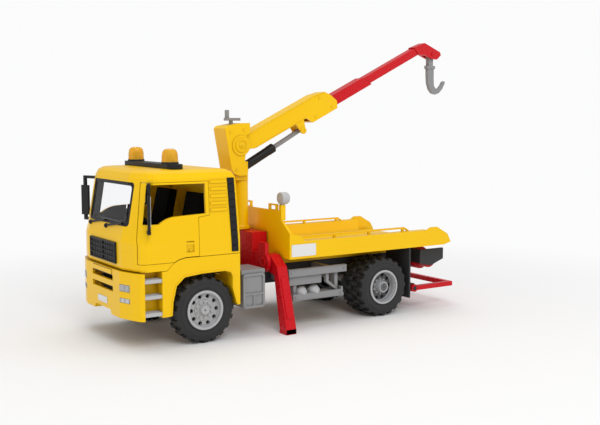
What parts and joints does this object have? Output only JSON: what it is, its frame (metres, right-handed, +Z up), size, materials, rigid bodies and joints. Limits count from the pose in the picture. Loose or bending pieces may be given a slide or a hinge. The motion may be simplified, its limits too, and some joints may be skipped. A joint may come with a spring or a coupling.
{
  "type": "tow truck",
  "caption": "Toy recovery truck at 1:16: tilting cab with doors, slewing crane with a telescopic boom and hook, fold-out outriggers, flat deck and rear tow fork",
  "frame": {"origin": "centre of the overall box at ground level under the tyres", "axes": "+X towards the cab's nose, +Y to the truck's left, +Z up"},
  "size_m": [0.46, 0.18, 0.3176],
  "materials": {
    "yellow_plastic": "satin moulded ABS",
    "red_plastic": "satin moulded ABS",
    "black_plastic": "matt moulded ABS",
    "grey_plastic": "satin moulded ABS, silver grey",
    "dark_grey_plastic": "matt moulded ABS",
    "amber_lens": "clear amber moulding",
    "lamp_lens": "clear moulding over silver",
    "clear_window": "clear polystyrene pane",
    "tyre": "soft black rubber-like plastic",
    "steel_pin": "plain steel pin"
  },
  "bodies": {
    "chassis": {"frame": "dark_grey_plastic", "axle_front": "steel_pin", "axle_rear": "steel_pin", "engine": "black_plastic", "bumper": "yellow_plastic", "headlamps": "lamp_lens", "fender_left": "yellow_plastic", "fender_right": "yellow_plastic", "steps_left": "grey_plastic", "steps_right": "grey_plastic", "toolbox_left": "grey_plastic", "toolbox_right": "grey_plastic", "tank_rail_left": "grey_plastic", "tank_rail_right": "grey_plastic", "crane_base": "red_plastic", "slew_ring": "black_plastic", "deck": "yellow_plastic", "work_lamps": "grey_plastic", "mudflaps": "black_plastic", "tail_beam": "dark_grey_plastic", "rear_drum": "red_plastic", "fork_beam": "dark_grey_plastic"},
    "wheel_front_left": {"tyre_front_left": "tyre", "rim_front_left": "grey_plastic"},
    "wheel_front_right": {"tyre_front_right": "tyre", "rim_front_right": "grey_plastic"},
    "wheel_rear_left": {"tyre_rear_left": "tyre", "rim_rear_left": "grey_plastic"},
    "wheel_rear_right": {"tyre_rear_right": "tyre", "rim_rear_right": "grey_plastic"},
    "cab_body": {"cab": "yellow_plastic", "windshield": "clear_window", "grille": "black_plastic", "seats": "black_plastic", "dashboard": "black_plastic", "light_bar": "black_plastic", "beacons": "amber_lens", "wipers": "black_plastic", "snorkel_left": "black_plastic", "snorkel_right": "black_plastic"},
    "door_left_body": {"door_left": "yellow_plastic", "mirror_left": "black_plastic"},
    "door_right_body": {"door_right": "yellow_plastic", "mirror_right": "black_plastic"},
    "crane_body": {"crane_column": "yellow_plastic", "crank": "grey_plastic"},
    "boom_body": {"boom_outer": "yellow_plastic"},
    "first_body": {"boom_first": "red_plastic"},
    "second_body": {"boom_second": "red_plastic"},
    "hook_body": {"hook": "grey_plastic"},
    "barrel_body": {"cylinder_barrel": "black_plastic"},
    "rod_body": {"cylinder_rod": "grey_plastic"},
    "leg_left_body": {"outrigger_left": "red_plastic"},
    "leg_right_body": {"outrigger_right": "red_plastic"},
    "fork_body": {"tow_fork": "red_plastic"}
  },
  "joints": [
    {"name": "spin_front_left", "type": "hinge", "parent": "chassis", "child": "wheel_front_left", "pos_m": [0.15153, 0.0625, 0.0335], "axis": [0, 1, 0], "continuous": true},
    {"name": "spin_front_right", "type": "hinge", "parent": "chassis", "child": "wheel_front_right", "pos_m": [0.15153, -0.0625, 0.0335], "axis": [0, 1, 0], "continuous": true},
    {"name": "spin_rear_left", "type": "hinge", "parent": "chassis", "child": "wheel_rear_left", "pos_m": [-0.07647, 0.053, 0.0335], "axis": [0, 1, 0], "continuous": true},
    {"name": "spin_rear_right", "type": "hinge", "parent": "chassis", "child": "wheel_rear_right", "pos_m": [-0.07647, -0.053, 0.0335], "axis": [0, 1, 0], "continuous": true},
    {"name": "cab_tilt", "type": "hinge", "parent": "chassis", "child": "cab_body", "pos_m": [0.22603, 0, 0.079], "axis": [0, 1, 0], "range_deg": [0, 55]},
    {"name": "door_left_swing", "type": "hinge", "parent": "cab_body", "child": "door_left_body", "pos_m": [0.22103, 0.0695, 0.12], "axis": [0, 0, -1], "range_deg": [0, 65]},
    {"name": "door_right_swing", "type": "hinge", "parent": "cab_body", "child": "door_right_body", "pos_m": [0.22103, -0.0695, 0.12], "axis": [0, 0, 1], "range_deg": [0, 65]},
    {"name": "crane_slew", "type": "hinge", "parent": "chassis", "child": "crane_body", "pos_m": [0.06773, 0, 0.103], "axis": [0, 0, 1], "range_deg": [-110, 110]},
    {"name": "boom_luff", "type": "hinge", "parent": "crane_body", "child": "boom_body", "pos_m": [0.07493, 0, 0.1948], "axis": [0, 1, 0], "range_deg": [-23, 35]},
    {"name": "boom_extend_1", "type": "slide", "parent": "boom_body", "child": "first_body", "axis": [-0.8988, 0, 0.4384], "range_m": [-0.06, 0]},
    {"name": "boom_extend_2", "type": "slide", "parent": "first_body", "child": "second_body", "axis": [-0.8988, 0, 0.4384], "range_m": [-0.078, 0]},
    {"name": "hook_swing", "type": "hinge", "parent": "second_body", "child": "hook_body", "pos_m": [-0.20563, 0, 0.30438], "axis": [0, 1, 0], "range_deg": [-60, 45]},
    {"name": "barrel_tilt", "type": "hinge", "parent": "crane_body", "child": "barrel_body", "pos_m": [0.07131, 0, 0.16708], "axis": [0, 1, 0], "range_deg": [-20.2, 30.6]},
    {"name": "rod_slide", "type": "slide", "parent": "barrel_body", "child": "rod_body", "axis": [-0.8792, 0, 0.4764], "range_m": [-0.01, 0.0151]},
    {"name": "outrigger_left_fold", "type": "hinge", "parent": "chassis", "child": "leg_left_body", "pos_m": [0.06073, 0.051, 0.072], "axis": [1, 0, 0], "range_deg": [0, 150]},
    {"name": "outrigger_right_fold", "type": "hinge", "parent": "chassis", "child": "leg_right_body", "pos_m": [0.06073, -0.051, 0.072], "axis": [-1, 0, 0], "range_deg": [0, 150]},
    {"name": "tow_fork_tilt", "type": "hinge", "parent": "chassis", "child": "fork_body", "pos_m": [-0.13147, 0, 0.025], "axis": [0, 1, 0], "range_deg": [-20, 12]}
  ],
  "couplings": [
    {"joint": "barrel_tilt", "follows": "boom_luff", "ratio": 0.871},
    {"joint": "rod_slide", "follows": "boom_luff", "m_per_rad": 0.0245}
  ]
}
